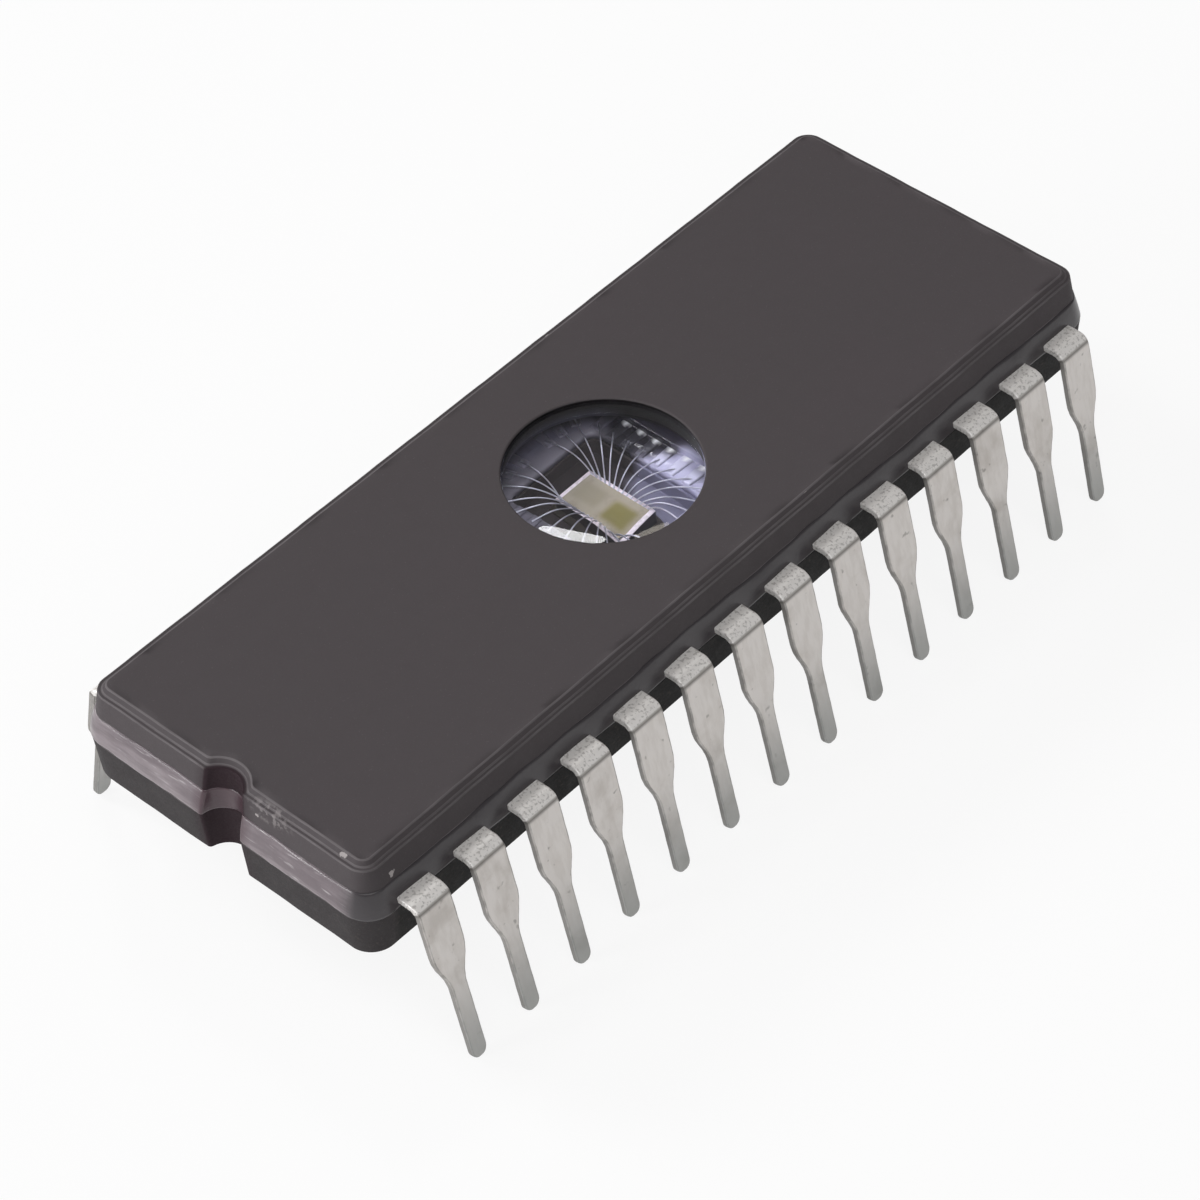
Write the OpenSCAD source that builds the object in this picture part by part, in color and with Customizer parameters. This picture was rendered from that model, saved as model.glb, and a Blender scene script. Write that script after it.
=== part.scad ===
// Windowed ceramic dual in-line package: a memory chip that is erased with ultraviolet light.
// Millimetres. +X runs from the notched end to the far end, leads 1 to 14 are on the -Y side,
// +Z is up and z = 0 is where the lead tips stand.

/* [Leads] */
// Number of leads in each of the two rows
leads_per_row = 14; // [12:2:16]
// Distance between neighbouring leads in a row
lead_pitch = 2.54; // [2:0.02:3.1]
// Thickness of the lead strip
lead_t = 0.25; // [0.2:0.01:0.3]
// Width of the shoulder and of the upper leg
lead_w = 1.45; // [1.15:0.05:1.75]
// Width of the pin that enters the socket or board
pin_w = 0.66; // [0.52:0.02:0.8]
// Height of the shoulder's top above the lead tips
lead_h = 6.8; // [5.6:0.1:8.2]
// Distance from the body's wall to the middle of the leg, at the top of the leg
shoulder_out = 0.78; // [0.7:0.02:1.1]
// Inner radius of the bend below the shoulder
bend_r = 0.25; // [0.15:0.05:0.35]
// Outward splay of the legs from upright, in degrees
splay = 12.5; // [5:0.5:15]
// Length of full width below the bend
wide_leg = 1.75; // [1.4:0.05:2.1]
// Length over which the leg narrows to the pin
taper_leg = 1.7; // [1.3:0.05:2.1]
// Radius of the pin's rounded tip corners
tip_r = 0.25; // [0.1:0.01:0.26]

/* [Body] */
// Width of the ceramic at its widest, without the leads
body_w = 13.4; // [11.2:0.1:16.2]
// Distance from the middle of the end lead to the end of the body
end_margin = 2.09; // [1.7:0.01:2.6]
// Corner radius of the body in plan, at its widest
corner_r = 1.1; // [0.95:0.05:1.3]
// Thickness of the ceramic base
base_t = 2; // [1.65:0.05:2.5]
// Thickness of the ceramic lid
lid_t = 1.48; // [1.25:0.01:1.8]
// How far the lid's edge stands in from the base's edge
lid_inset = 0.28; // [0.1:0.02:0.3]
// How far each side wall leans in over its height
wall_lean = 0.16; // [0.1:0.02:0.24]
// Width of the pressed chamfer round each outer face
press_chamfer_w = 0.15; // [0.1:0.01:0.2]
// Height of the pressed chamfer
press_chamfer_h = 0.2; // [0.1:0.01:0.25]
// Width of the flat land between the chamfer and the side wall
press_land = 0.16; // [0.1:0.02:0.2]
// Radius of the index notch in the end of the body
notch_r = 0.88; // [0.7:0.02:1.1]
// Distance of the notch's centre in from the end of the body
notch_in = 0.05; // [0:0.05:0.3]

/* [Seal glass] */
// Glass between the base and the underside of the leads
glass_under = 0.08; // [0.05:0.01:0.15]
// Glass between the leads and the underside of the lid
glass_over = 0.25; // [0.2:0.01:0.35]
// Height of the glass fillet that climbs the lid's lower edge
glass_fillet = 0.34; // [0.2:0.02:0.4]
// Clear opening in the lid's glass, along the package
opening_x = 6.3; // [5.3:0.1:7.4]
// Clear opening in the lid's glass, across the package
opening_y = 8.2; // [7:0.1:9.6]
// Strip of bare ledge between the cavity's edge and the glass
glass_ledge = 0.08; // [0.04:0.02:0.14]

/* [Window] */
// Diameter of the ultraviolet window
window_d = 7; // [5.8:0.1:7.6]
// Thickness of the window at its rim
window_t = 1.2; // [1:0.05:1.24]
// Depth of the window's rim below the lid's face
window_sink = 0.1; // [0.06:0.01:0.12]
// Height of the crown of the window's upper face
window_crown = 0.06; // [0.03:0.01:0.06]

/* [Cavity and die] */
// Length of the die cavity, along the package
cavity_x = 4; // [3.3:0.1:4.8]
// Width of the die cavity, across the package
cavity_y = 4.7; // [3.9:0.1:5.7]
// Depth of the cavity below the base's upper face
cavity_depth = 0.6; // [0.5:0.02:0.7]
// Corner radius of the cavity
cavity_r = 0.3; // [0.2:0.05:0.5]
// Size of the die along the package
die_x = 1.78; // [1.5:0.02:2.1]
// Size of the die across the package
die_y = 2.96; // [2.6:0.02:3.3]
// Thickness of the die
die_t = 0.4; // [0.3:0.02:0.48]
// Thickness of the die-attach layer
attach_t = 0.04; // [0.02:0.01:0.06]
// Width of the die-attach fillet that shows round the die
attach_rim = 0.2; // [0.1:0.02:0.3]

/* [Fingers and bond wires] */
// Fingers of each quadrant that end at the cavity's long side, across the package
side_fingers = 4; // [3:1:4]
// Distance between neighbouring fingertips
finger_pitch = 0.68; // [0.58:0.01:0.72]
// Gap between the cavity's edge and the fingertips of its long sides
finger_gap = 0.15; // [0.1:0.01:0.2]
// Gap between the cavity's edge and the fingertips of its short sides
ledge_gap = 0.6; // [0.5:0.05:0.8]
// Width of a fingertip
finger_w = 0.38; // [0.28:0.02:0.42]
// Distance between neighbouring bond pads on the die
pad_pitch = 0.2; // [0.16:0.01:0.21]
// Distance of the bond pads in from the edge of the die
pad_in = 0.1; // [0.08:0.01:0.14]
// Diameter of a bond wire
wire_d = 0.04; // [0.03:0.01:0.05]
// Height of a bond wire's loop above the straight line between its ends
wire_loop = 0.3; // [0.2:0.02:0.36]

/* [Hidden] */
$fn = 64;
lead_count = 2 * leads_per_row;
rank_count = leads_per_row / 2;
body_l = lead_pitch * (leads_per_row - 1) + 2 * end_margin;
corner_x = body_l / 2 - corner_r;
corner_y = body_w / 2 - corner_r;

// Heights of the stack, from the underside of the base to the lid's face
lead_low = lead_h - lead_t;
base_top = lead_low - glass_under;
base_low = base_top - base_t;
lid_low = lead_h + glass_over;
lid_top = lid_low + lid_t;
cavity_floor = base_top - cavity_depth;
die_low = cavity_floor + attach_t;
die_top = die_low + die_t;
window_rim = lid_top - window_sink;
window_low = window_rim - window_t;

// The leg starts where the bend ends
bend_out = bend_r + lead_t;
bend_mid = bend_r + lead_t / 2;
bend_y = body_w / 2 + shoulder_out - bend_mid * cos(splay);
bend_z = lead_h - bend_out;
leg_l = (bend_z + bend_r * sin(splay)) / cos(splay);

// Places of the fingers inside the glass
finger_knee = cavity_x / 2 + 1.6;
finger_knee_w = 0.44;
short_side_first = 0.63;
short_side_pitch = 0.62;
knee_lean = 0.18;
knee_share = 0.68;
knee_share_step = 0.075;
lane_first = 1.5;
lane_last = body_w / 2 - 1.58;
lane_bow = 0.25;
lane_drop = 0.5;
lane_in = 0.8;
root_in = 0.55;
lane_w = (lane_last - lane_first) / (rank_count - 1);
root_w = lane_w + 0.4 * (lead_w - lane_w);

overlap = 1;
arc_steps = 10;
crown_steps = 6;
wire_steps = 6;
wire_foot = 0.08;
wire_land = 0.22;

// Name of a lead's node, with two digits
function lead_name(pin) = str("lead_", pin < 10 ? "0" : "", pin);

function along(a, b, t) = a + (b - a) * t;
function unit(v) = v / norm(v);
function turned(v) = [-v.y, v.x];

// Mitre direction of a path at point i, so that a ribbon keeps its width through a corner
function mitre(path, i) =
    let (
        last = len(path) - 1,
        before = unit(path[max(i, 1)] - path[max(i, 1) - 1]),
        after = unit(path[min(i, last - 1) + 1] - path[min(i, last - 1)]),
        across = turned(unit(before + after))
    )
    across / (across * turned(before));

// Outline of a strip that follows a path, with its own width at each point
function ribbon(path, widths) = concat(
    [for (i = [0 : len(path) - 1]) path[i] + mitre(path, i) * widths[i] / 2],
    [for (i = [len(path) - 1 : -1 : 0]) path[i] - mitre(path, i) * widths[i] / 2]
);

// A slab with rounded corners in plan. The profile's points are [distance out from the
// corner axes, height], from the underside to the top.
module profiled_slab(profile, cx, cy) {
    count = len(profile);
    low = profile[0].y;
    high = profile[count - 1].y;
    module wall_section(half) {
        polygon(concat(
            [for (p = profile) [half + p.x, p.y]],
            [for (i = [count - 1 : -1 : 0]) [-half - profile[i].x, profile[i].y]]
        ));
    }
    rotate([90, 0, 0]) linear_extrude(2 * cy, center = true) wall_section(cx);
    rotate([90, 0, 90]) linear_extrude(2 * cx, center = true) wall_section(cy);
    for (flip_x = [0, 1], flip_y = [0, 1])
        mirror([flip_x, 0, 0]) mirror([0, flip_y, 0]) translate([cx, cy, 0])
            rotate_extrude(angle = 90) polygon(concat([[0, low]], profile, [[0, high]]));
}

// A straight-sided block with rounded corners in plan
module rounded_block(length, width, r, low, high) {
    profiled_slab([[r, low], [r, high]], length / 2 - r, width / 2 - r);
}

// The index notch, through the whole stack, with the pressed edge of one outer face
module notch_cut(face, up) {
    translate([-body_l / 2 + notch_in, 0, face]) mirror([0, 0, up ? 0 : 1]) {
        translate([0, 0, -press_chamfer_h]) cylinder(h = overlap, r = notch_r + press_land);
        translate([0, 0, -press_chamfer_h])
            cylinder(
                h = 2 * press_chamfer_h,
                r1 = notch_r + press_land,
                r2 = notch_r + press_land + 2 * press_chamfer_w
            );
    }
}

module notch_bore() {
    translate([-body_l / 2 + notch_in, 0, base_low - overlap])
        cylinder(h = lid_top - base_low + 2 * overlap, r = notch_r);
}

// Base: a pressed slab with the die cavity in its upper face
module ceramic_base() {
    wall = corner_r - wall_lean;
    color("#4b4749") difference() {
        profiled_slab([
            [wall - press_land - press_chamfer_w, base_low],
            [wall - press_land, base_low + press_chamfer_h],
            [wall, base_low + press_chamfer_h],
            [corner_r, base_top]
        ], corner_x, corner_y);
        rounded_block(cavity_x, cavity_y, cavity_r, cavity_floor, base_top + overlap);
        notch_bore();
        notch_cut(base_low, false);
    }
}

// Lid: a pressed slab with the window's hole, its lower edge eased where the glass climbs it
module ceramic_lid() {
    rim = corner_r - lid_inset;
    wall = rim - wall_lean;
    color("#4f4a4c") difference() {
        profiled_slab([
            [rim - glass_fillet / 2, lid_low],
            [rim, lid_low + glass_fillet],
            [wall, lid_top - press_chamfer_h],
            [wall - press_land, lid_top - press_chamfer_h],
            [wall - press_land - press_chamfer_w, lid_top]
        ], corner_x, corner_y);
        translate([0, 0, lid_low - overlap]) cylinder(h = lid_t + 2 * overlap, d = window_d);
        notch_bore();
        notch_cut(lid_top, true);
    }
}

// Seal glass: fused round the leads, open over the cavity and round the fingertips
module seal_glass() {
    rim = corner_r - lid_inset;
    ledge_x = cavity_x + 2 * glass_ledge;
    ledge_y = cavity_y + 2 * glass_ledge;
    color("#7b7375") difference() {
        profiled_slab([
            [corner_r, base_top],
            [rim, lid_low + glass_fillet],
            [rim - glass_fillet / 2, lid_low]
        ], corner_x, corner_y);
        rounded_block(ledge_x, ledge_y, cavity_r + glass_ledge, base_top - overlap, lead_h + overlap);
        rounded_block(opening_x, opening_y, 2 * cavity_r, lead_h, lid_low + overlap);
        notch_bore();
        for (pin = [1 : lead_count]) at_pin(pin) finger(pin_rank(pin));
    }
}

// Window: a fused glass disc with a slightly crowned upper face
module uv_window() {
    rim_r = window_d / 2;
    crown = [
        for (i = [0 : crown_steps])
            let (r = rim_r * (1 - i / crown_steps))
            [r, window_rim + window_crown * (1 - pow(r / rim_r, 2))]
    ];
    color("#b9bccb", 0.4) rotate_extrude()
        polygon(concat([[0, window_low], [rim_r, window_low]], crown));
}

// Die attach: a thin pad that bonds the die to the cavity's floor
module die_attach() {
    color("#6d5f45")
        rounded_block(die_x + 2 * attach_rim, die_y + 2 * attach_rim, attach_rim, cavity_floor, die_low);
}

// Die: the silicon chip
module memory_die() {
    color("#a39a78") translate([0, 0, die_low + die_t / 2]) cube([die_x, die_y, die_t], center = true);
}

// Rank of a pin in its quadrant: 0 beside the middle of the row, rank_count - 1 at the end
function row_place(pin) = (pin - 1) % leads_per_row;
function pin_rank(pin) =
    let (place = row_place(pin))
    place < rank_count ? rank_count - 1 - place : place - rank_count;

// Puts a lead of the +X -Y quadrant in the place of a pin
module at_pin(pin) {
    far_row = pin > leads_per_row;
    low_x = (row_place(pin) < rank_count) != far_row;
    mirror([0, far_row ? 1 : 0, 0]) mirror([low_x ? 1 : 0, 0, 0]) children();
}

// Distance of a lead from the middle of its row
function rank_x(rank) = lead_pitch * (rank + 0.5);

// Order of a finger round the cavity: 0 is nearest the package's long axis
function finger_order(rank) = rank_count - 1 - rank;
function ends_at_long_side(rank) = finger_order(rank) < side_fingers;

function finger_tip(rank) =
    ends_at_long_side(rank)
        ? [cavity_x / 2 + finger_gap, -(finger_order(rank) + 0.5) * finger_pitch]
        : [short_side_first + short_side_pitch * rank, -cavity_y / 2 - ledge_gap];

// Distance of a finger's lane from the long axis, further out for leads near the middle
function lane(rank) =
    let (share = finger_order(rank) / (rank_count - 1))
    along(lane_first, lane_last, share * (1 + lane_bow * (1 - share)));

function finger_path(rank) =
    let (
        x = rank_x(rank),
        tip = finger_tip(rank),
        y = lane(rank),
        knee = ends_at_long_side(rank)
            ? [finger_knee, tip.y]
            : [tip.x + knee_lean * (rank + 0.5), along(tip.y, -y, knee_share - knee_share_step * rank)]
    )
    [
        tip,
        knee,
        [x - min(lane_in, (x - knee.x) / 2), -y],
        [x, -y - lane_drop],
        [x, root_in - body_w / 2],
        [x, -bend_y]
    ];

// Flat part of a lead: the finger inside the glass and the shoulder outside it
module finger(rank) {
    translate([0, 0, lead_low]) linear_extrude(lead_t)
        polygon(ribbon(finger_path(rank), [finger_w, finger_knee_w, lane_w, root_w, lead_w, lead_w]));
}

// Half width of the leg at distance s below the bend: wide, then an S-curve down to the pin
function leg_half(s) =
    let (share = max(0, min(1, (s - wide_leg) / taper_leg)))
    along(pin_w, lead_w, (1 + cos(180 * share)) / 2) / 2;

function leg_outline() =
    let (
        edge = concat(
            [[leg_half(0), 0]],
            [for (i = [0 : arc_steps]) let (s = wide_leg + taper_leg * i / arc_steps) [leg_half(s), s]],
            [for (i = [0 : 4]) let (a = 90 * i / 4)
                [pin_w / 2 - tip_r + tip_r * cos(a), leg_l - tip_r + tip_r * sin(a)]]
        ),
        count = len(edge)
    )
    concat(edge, [for (i = [count - 1 : -1 : 0]) [-edge[i].x, edge[i].y]]);

// One lead of the +X -Y quadrant: finger, shoulder, bend and splayed leg
module formed_lead(rank) {
    x = rank_x(rank);
    finger(rank);
    translate([x, -bend_y, bend_z]) {
        rotate([180, -90, 0]) translate([0, 0, -lead_w / 2])
            rotate_extrude(angle = 90 - splay) translate([bend_r, 0]) square([lead_t, lead_w]);
        rotate([-splay, 0, 0]) rotate([-90, 0, 180]) translate([0, 0, bend_r])
            linear_extrude(lead_t) polygon(leg_outline());
    }
}

module lead(pin) {
    color("#bcb9b4") at_pin(pin) formed_lead(pin_rank(pin));
}

// Bond wires of one end of the die
function pad_place(rank) = [die_x / 2 - pad_in, -(finger_order(rank) + 0.5) * pad_pitch];

function wire_path(rank) =
    let (
        lift = wire_d / 2 * cos(30),
        path = finger_path(rank),
        pad = pad_place(rank),
        land = path[0] + wire_land * unit(path[1] - path[0]),
        way = unit(land - pad),
        from = [pad.x, pad.y, die_top + lift],
        to = [land.x, land.y, lead_h + lift],
        foot = [way.x, way.y, 0] * wire_foot
    )
    concat(
        [from - foot / 2],
        [for (i = [0 : wire_steps])
            let (t = i / wire_steps)
            along(from, to, t) + [0, 0, wire_loop * sin(180 * t)]],
        [to + foot]
    );

// A six-sided wire swept along its path
module bond_wire(rank) {
    path = wire_path(rank);
    rings = len(path);
    way = unit([path[rings - 1].x - path[0].x, path[rings - 1].y - path[0].y]);
    across = [-way.y, way.x, 0];
    function heading(i) =
        i == 0 || i == rings - 1 ? [way.x, way.y, 0] : unit(path[i + 1] - path[i - 1]);
    points = [
        for (i = [0 : rings - 1], a = [0 : 60 : 300])
            path[i] + wire_d / 2 * (cos(a) * across + sin(a) * cross(heading(i), across))
    ];
    sides = [
        for (i = [0 : rings - 2], k = [0 : 5])
            let (a = 6 * i + k, b = 6 * i + (k + 1) % 6)
            [a, b, b + 6, a + 6]
    ];
    polyhedron(points, concat(sides, [[for (k = [5 : -1 : 0]) k]], [[for (k = [0 : 5]) 6 * (rings - 1) + k]]));
}

module bond_wires(notch_end) {
    color("#d9d9de") mirror([notch_end ? 1 : 0, 0, 0])
        for (side = [0, 1], rank = [0 : rank_count - 1]) mirror([0, side, 0]) bond_wire(rank);
}

ceramic_base();
seal_glass();
ceramic_lid();
uv_window();
die_attach();
memory_die();
for (pin = [1 : lead_count])
    lead(pin);
bond_wires(true);  // bond_wires_notch_end
bond_wires(false);  // bond_wires_far_end
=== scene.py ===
import math

import bmesh
import bpy
import numpy as np
from mathutils import Matrix, Vector


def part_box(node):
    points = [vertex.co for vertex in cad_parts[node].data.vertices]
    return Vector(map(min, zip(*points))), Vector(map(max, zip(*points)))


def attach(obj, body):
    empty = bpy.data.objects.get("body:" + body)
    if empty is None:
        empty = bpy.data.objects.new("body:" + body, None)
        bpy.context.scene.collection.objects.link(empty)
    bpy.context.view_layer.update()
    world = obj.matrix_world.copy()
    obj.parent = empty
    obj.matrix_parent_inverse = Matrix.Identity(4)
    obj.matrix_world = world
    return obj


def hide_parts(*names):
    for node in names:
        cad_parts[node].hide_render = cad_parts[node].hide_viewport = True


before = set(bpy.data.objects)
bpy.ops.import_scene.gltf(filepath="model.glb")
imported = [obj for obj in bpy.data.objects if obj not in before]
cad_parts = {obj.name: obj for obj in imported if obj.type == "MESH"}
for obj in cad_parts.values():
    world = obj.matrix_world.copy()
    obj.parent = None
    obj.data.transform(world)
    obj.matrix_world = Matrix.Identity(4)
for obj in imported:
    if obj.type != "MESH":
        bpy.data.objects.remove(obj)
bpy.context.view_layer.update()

mm = 0.001
random = np.random.default_rng(28)
print("frame:", len(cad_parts), "nodes")


def nodeBox(node):
    low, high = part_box(node)
    return np.array(low) / mm, np.array(high) / mm


# Camera: found from the row of leads, the ceramic's edges and the window's rim in the photo
view = dict(
    azimuth=-45.7,
    elevation=46.11,
    roll=-3.376,
    distance=148.175,
    focal=4331.0,          # pixels, in a frame of 1200
    frameSize=1200,
    aside=0.17,            # how far the line of sight passes beside the aim
    below=3.244,
    aimHeight=6.8,         # top of the leads' shoulders
    sensor=36.0,
)


def addCamera():
    turn, rise, roll = (math.radians(view[k]) for k in ("azimuth", "elevation", "roll"))
    back = np.array([math.sin(turn) * math.cos(rise), -math.cos(turn) * math.cos(rise), math.sin(rise)])
    level = np.array([math.cos(turn), math.sin(turn), 0])
    upright = np.cross(back, level)
    right = level * math.cos(roll) + upright * math.sin(roll)
    up = upright * math.cos(roll) - level * math.sin(roll)
    place = back * view["distance"] - right * view["aside"] - up * view["below"] + [0, 0, view["aimHeight"]]
    data = bpy.data.cameras.new("camera")
    data.sensor_width = view["sensor"]
    data.lens = view["focal"] / view["frameSize"] * view["sensor"]
    data.clip_start = 0.005
    data.clip_end = 20
    camera = bpy.data.objects.new("camera", data)
    bpy.context.scene.collection.objects.link(camera)
    axes = Matrix([[right[i], up[i], back[i]] for i in range(3)]).to_4x4()
    camera.matrix_world = Matrix.Translation(Vector(place * mm)) @ axes
    bpy.context.scene.camera = camera


addCamera()
print("camera: lens", round(bpy.context.scene.camera.data.lens, 1))


# Materials

def linear(*rgb):  # screen colour, 0 to 255, as light
    c = np.array(rgb) / 255
    return (*np.where(c <= 0.04045, c / 12.92, ((c + 0.055) / 1.055) ** 2.4), 1.0)


def add(tree, kind, inputs=None, **settings):  # a node with its settings, values and incoming links
    made = tree.nodes.new(kind)
    for key, value in settings.items():
        setattr(made, key, value)
    for key, value in (inputs or {}).items():
        if isinstance(value, bpy.types.NodeSocket):
            tree.links.new(value, made.inputs[key])
        else:
            made.inputs[key].default_value = value
    return made


def maths(tree, operation, *values):
    return add(tree, "ShaderNodeMath", dict(enumerate(values)), operation=operation).outputs[0]


def read(tree, name):  # a value the piece carries for each point
    return add(tree, "ShaderNodeAttribute", attribute_name=name).outputs["Fac"]


def blend(tree, factor, a, b, mode="MIX"):  # colour mix
    made = add(tree, "ShaderNodeMix", {0: factor, 6: a, 7: b}, data_type="RGBA", blend_type=mode)
    return made.outputs[2]


def ramp(tree, value, low, high, toLow=0.0, toHigh=1.0):
    inputs = {"Value": value, "From Min": low, "From Max": high, "To Min": toLow, "To Max": toHigh}
    return add(tree, "ShaderNodeMapRange", inputs, clamp=True, interpolation_type="SMOOTHSTEP").outputs[0]


def noise(tree, where, scale, detail=3.0, rough=0.55, distort=0.0):
    inputs = {"Vector": where, "Scale": scale, "Detail": detail, "Roughness": rough, "Distortion": distort}
    return add(tree, "ShaderNodeTexNoise", inputs).outputs["Fac"]


def groupOf(name, inputs, outputs):  # an empty node group with named sockets
    tree = bpy.data.node_groups.new(name, "ShaderNodeTree")
    for label, value in inputs.items():
        kind = "NodeSocketVector" if value == "vector" else "NodeSocketFloat"
        socket = tree.interface.new_socket(label, in_out="INPUT", socket_type=kind)
        if kind == "NodeSocketFloat":
            socket.default_value = value
    for label in outputs:
        tree.interface.new_socket(label, in_out="OUTPUT", socket_type="NodeSocketFloat")
    return tree, tree.nodes.new("NodeGroupInput").outputs, tree.nodes.new("NodeGroupOutput").inputs


def placed(tree, group, **inputs):
    return add(tree, "ShaderNodeGroup", {k: v for k, v in inputs.items()}, node_tree=group).outputs


def makeGrain():  # pressed or sandy grain: fine noise over coarser lumps, as a height and a mask of specks
    tree, given, out = groupOf("grain", {"Where": "vector", "Fine": 9000.0, "Coarse": 900.0, "Lumps": 0.5}, ["Height", "Specks"])
    fine = noise(tree, given["Where"], given["Fine"], 2.0, 0.6)
    coarse = noise(tree, given["Where"], given["Coarse"], 3.0, 0.5)
    lumps = maths(tree, "MULTIPLY", coarse, given["Lumps"])
    tree.links.new(maths(tree, "ADD", fine, lumps), out["Height"])
    tree.links.new(ramp(tree, fine, 0.62, 0.74), out["Specks"])
    return tree


def makeWornEdge():  # edge mask from the piece's own edge attribute, broken up by noise; it lays the ceramic's lighter edges, partly wear and partly painted highlight, and painted shade on the leads' edges
    tree, given, out = groupOf("wornEdge", {"Where": "vector", "Scale": 1200.0, "Break up": 0.6}, ["Mask"])
    edge = add(tree, "ShaderNodeAttribute", attribute_name="edge").outputs["Fac"]
    broken = ramp(tree, noise(tree, given["Where"], given["Scale"]), 0.35, 0.65)
    kept = maths(tree, "SUBTRACT", 1.0, maths(tree, "MULTIPLY", given["Break up"], broken))
    tree.links.new(maths(tree, "MULTIPLY", edge, kept), out["Mask"])
    return tree


def makeStains():  # soft patches and small dark spots
    tree, given, out = groupOf("stains", {"Where": "vector", "Patch": 400.0, "Spot": 2500.0}, ["Patches", "Spots"])
    patches = ramp(tree, noise(tree, given["Where"], given["Patch"], 4.0, 0.6, 0.4), 0.45, 0.75)
    spots = ramp(tree, noise(tree, given["Where"], given["Spot"], 2.0, 0.5), 0.66, 0.76)
    tree.links.new(patches, out["Patches"])
    tree.links.new(spots, out["Spots"])
    return tree


grain, wornEdge, stains = makeGrain(), makeWornEdge(), makeStains()


def newMaterial(name, **values):  # a Principled material and what its nodes need
    material = bpy.data.materials.new(name)
    material.use_nodes = True
    tree = material.node_tree
    shader = next(n for n in tree.nodes if n.type == "BSDF_PRINCIPLED")
    for key, value in values.items():
        shader.inputs[key.replace("_", " ")].default_value = value
    where = add(tree, "ShaderNodeTexCoord").outputs["Object"]
    return material, tree, shader, where


def bump(tree, shader, height, distance, strength=1.0):
    made = add(tree, "ShaderNodeBump", {"Height": height, "Strength": strength, "Distance": distance * mm})
    tree.links.new(made.outputs[0], shader.inputs["Normal"])


ceramicFinish = dict(
    colour=linear(75, 70, 72),
    warm=linear(79, 71, 75),
    # the notch's darker colour: partly its own tone, partly painted shade in the recess
    notch=linear(40, 26, 32),
    # painted shade: the window's bore wall near black, and blue-grey low on it away from the bright corner
    bore=linear(13, 10, 13),
    boreFoot=linear(50, 48, 60),
    pocket=linear(60, 53, 55),
    # painted light on the cavity floor toward the window's bright corner
    pocketSheen=linear(130, 128, 150),
    chip=linear(156, 150, 150),
    chips=((-18.08, -1.5, 7.9, 0.12), (-18.1, -1.1, 8.1, 0.08), (-17.85, -5.15, 8.38, 0.12), (-17.15, -6.38, 7.7, 0.11)),
    rough=((-18.05, -2.1, 8.15), (0.35, 1.2, 0.45)),     # middle and reach of a rubbed place beside the notch
    # painted shade, speckled: on the lid's long walls, on the base's long sides and over the base below its top
    stained=linear(19, 17, 17),
    stainedSpeck=linear(52, 47, 44),
    # lighter edges: partly wear, partly painted highlight
    edgeColour=linear(118, 113, 115),
    speckColour=linear(104, 99, 101),
    roughness=0.62,
    grainHeight=0.003,
)


def makeCeramic():
    f = ceramicFinish
    material, tree, shader, where = newMaterial("pressedCeramic", Roughness=f["roughness"], Specular_IOR_Level=0.2)
    g = placed(tree, grain, Where=where, Fine=14000.0, Coarse=1500.0)
    e = placed(tree, wornEdge, **{"Where": where, "Scale": 500.0, "Break up": 0.4})
    s = placed(tree, stains, Where=where, Patch=90.0)
    colour = blend(tree, maths(tree, "MULTIPLY", s["Patches"], 0.3), f["colour"], f["warm"])
    colour = blend(tree, maths(tree, "MULTIPLY", g["Specks"], 0.3), colour, f["speckColour"])
    colour = blend(tree, maths(tree, "MULTIPLY", e["Mask"], 0.55), colour, f["edgeColour"])
    # painted shade, speckled, where the piece's mask asks for it
    stained = add(tree, "ShaderNodeAttribute", attribute_name="stained").outputs["Fac"]
    smoked = blend(tree, ramp(tree, noise(tree, where, 7000.0), 0.58, 0.7), f["stained"], f["stainedSpeck"])
    colour = blend(tree, stained, colour, smoked)
    # laid over in turn: the notch's own tone with painted shade, painted shade on the bore, the cavity floor's colour
    # and painted light on it
    for mask in ("notch", "bore", "boreFoot", "pocket", "pocketSheen"):
        colour = blend(tree, read(tree, mask), colour, f[mask])
    frayed = add(tree, "ShaderNodeTexNoise", {"Vector": where, "Scale": 4000.0, "Detail": 2.0}).outputs["Color"]
    frayed = add(tree, "ShaderNodeVectorMath", {0: frayed, 1: (0.4 * mm,) * 3}, operation="MULTIPLY").outputs[0]
    frayed = add(tree, "ShaderNodeVectorMath", {0: where, 1: frayed}, operation="ADD").outputs[0]
    chips = maths(tree, "MULTIPLY", ramp(tree, noise(tree, where, 1700.0, 1.0), 0.76, 0.79), read(tree, "edge"))
    for *place, reach in f["chips"]:
        place = tuple((v + 0.2) * mm for v in place)
        apart = add(tree, "ShaderNodeVectorMath", {0: frayed, 1: place}, operation="DISTANCE").outputs["Value"]
        chips = maths(tree, "MAXIMUM", chips, ramp(tree, apart, (reach + 0.03) * mm, reach * mm))
    middle, reach = (tuple(v * mm for v in side) for side in f["rough"])
    apart = add(tree, "ShaderNodeVectorMath", {0: where, 1: middle}, operation="SUBTRACT").outputs[0]
    apart = add(tree, "ShaderNodeVectorMath", {0: apart, 1: reach}, operation="DIVIDE").outputs[0]
    apart = add(tree, "ShaderNodeVectorMath", {0: apart}, operation="LENGTH").outputs["Value"]
    rubbed = maths(tree, "MULTIPLY", ramp(tree, apart, 1.1, 0.4), ramp(tree, noise(tree, where, 4500.0, 2.0), 0.46, 0.62))
    chips = maths(tree, "MAXIMUM", chips, maths(tree, "MULTIPLY", rubbed, 0.45))
    colour = blend(tree, chips, colour, f["chip"])
    tree.links.new(colour, shader.inputs["Base Color"])
    tree.links.new(ramp(tree, g["Height"], 0.4, 1.1, 0.55, 0.75), shader.inputs["Roughness"])
    bump(tree, shader, g["Height"], f["grainHeight"], 0.6)
    return material


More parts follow.
